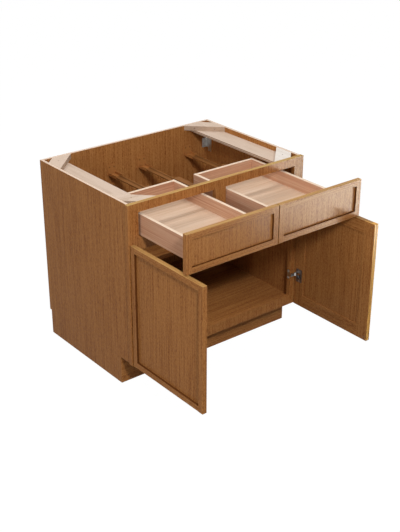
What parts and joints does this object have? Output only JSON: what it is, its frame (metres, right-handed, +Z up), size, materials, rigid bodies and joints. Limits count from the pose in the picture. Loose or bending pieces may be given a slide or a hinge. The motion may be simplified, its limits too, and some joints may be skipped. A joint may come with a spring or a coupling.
{
  "type": "kitchen base cabinet",
  "caption": "Face-frame kitchen base cabinet: drawers on hidden runners over hinged recessed-panel doors, half-depth shelf, open top with gussets and a toe space.",
  "frame": {"origin": "at floor level, in the middle of the width, on the plane of the front of the face frame", "axes": "+X to the cabinet's right as seen from the front, +Y back to the wall, +Z up"},
  "size_m": [0.9144, 1.097, 0.824],
  "materials": {
    "stained_oak": "satin stained oak veneer, straight grain",
    "birch_plywood": "bare sanded plywood with its plies showing on the edges",
    "maple_box": "clear lacquered maple, satin",
    "runner_steel": "sheet steel with a baked brown coat, matt",
    "bright_steel": "nickel plated steel",
    "hinge_cup_metal": "dark nickel plated die-cast metal",
    "brown_nylon": "moulded, brown"
  },
  "bodies": {
    "cabinet": {"left_side_panel": "stained_oak", "right_side_panel": "stained_oak", "back_panel": "stained_oak", "floor_panel": "stained_oak", "toe_board": "stained_oak", "left_frame_stile": "stained_oak", "right_frame_stile": "stained_oak", "top_frame_rail": "stained_oak", "middle_frame_rail": "stained_oak", "bottom_frame_rail": "stained_oak", "drawer_mullion": "stained_oak", "left_stretcher": "birch_plywood", "right_stretcher": "birch_plywood", "front_left_gusset": "birch_plywood", "front_right_gusset": "birch_plywood", "rear_left_gusset": "birch_plywood", "rear_right_gusset": "birch_plywood", "half_depth_shelf": "stained_oak", "shelf_pins": "bright_steel", "fixed_runners": "runner_steel", "runner_sockets": "brown_nylon", "corner_brackets": "bright_steel", "hinge_arms": "bright_steel", "hinge_pins": "bright_steel"},
    "left_drawer": {"left_drawer_front_left_stile": "stained_oak", "left_drawer_front_right_stile": "stained_oak", "left_drawer_front_top_rail": "stained_oak", "left_drawer_front_bottom_rail": "stained_oak", "left_drawer_front_panel": "stained_oak", "left_drawer_left_side": "maple_box", "left_drawer_right_side": "maple_box", "left_drawer_box_front": "maple_box", "left_drawer_box_back": "maple_box", "left_drawer_bottom": "maple_box", "left_drawer_runners": "runner_steel"},
    "left_middle_runners": {"left_drawer_middle_runners": "runner_steel"},
    "left_door": {"left_door_hinge_stile": "stained_oak", "left_door_lock_stile": "stained_oak", "left_door_top_rail": "stained_oak", "left_door_bottom_rail": "stained_oak", "left_door_panel": "stained_oak", "left_door_hinge_cups": "hinge_cup_metal"},
    "right_drawer": {"right_drawer_front_left_stile": "stained_oak", "right_drawer_front_right_stile": "stained_oak", "right_drawer_front_top_rail": "stained_oak", "right_drawer_front_bottom_rail": "stained_oak", "right_drawer_front_panel": "stained_oak", "right_drawer_left_side": "maple_box", "right_drawer_right_side": "maple_box", "right_drawer_box_front": "maple_box", "right_drawer_box_back": "maple_box", "right_drawer_bottom": "maple_box", "right_drawer_runners": "runner_steel"},
    "right_middle_runners": {"right_drawer_middle_runners": "runner_steel"},
    "right_door": {"right_door_hinge_stile": "stained_oak", "right_door_lock_stile": "stained_oak", "right_door_top_rail": "stained_oak", "right_door_bottom_rail": "stained_oak", "right_door_panel": "stained_oak", "right_door_hinge_cups": "hinge_cup_metal"}
  },
  "joints": [
    {"name": "left_drawer_slide", "type": "slide", "parent": "cabinet", "child": "left_drawer", "axis": [0, 1, 0], "range_m": [-0.2, 0.325]},
    {"name": "left_middle_runner_slide", "type": "slide", "parent": "cabinet", "child": "left_middle_runners", "axis": [0, 1, 0], "range_m": [-0.1, 0.1625]},
    {"name": "right_drawer_slide", "type": "slide", "parent": "cabinet", "child": "right_drawer", "axis": [0, 1, 0], "range_m": [-0.2, 0.325]},
    {"name": "right_middle_runner_slide", "type": "slide", "parent": "cabinet", "child": "right_middle_runners", "axis": [0, 1, 0], "range_m": [-0.1, 0.1625]},
    {"name": "left_door_hinge", "type": "hinge", "parent": "cabinet", "child": "left_door", "pos_m": [-0.4405, -0.01, 0.3925], "axis": [0, 0, 1], "range_deg": [-15, 90]},
    {"name": "right_door_hinge", "type": "hinge", "parent": "cabinet", "child": "right_door", "pos_m": [0.4405, -0.01, 0.3925], "axis": [0, 0, -1], "range_deg": [-15, 90]}
  ],
  "couplings": [
    {"joint": "left_middle_runner_slide", "follows": "left_drawer_slide", "ratio": 0.5},
    {"joint": "right_middle_runner_slide", "follows": "right_drawer_slide", "ratio": 0.5}
  ]
}
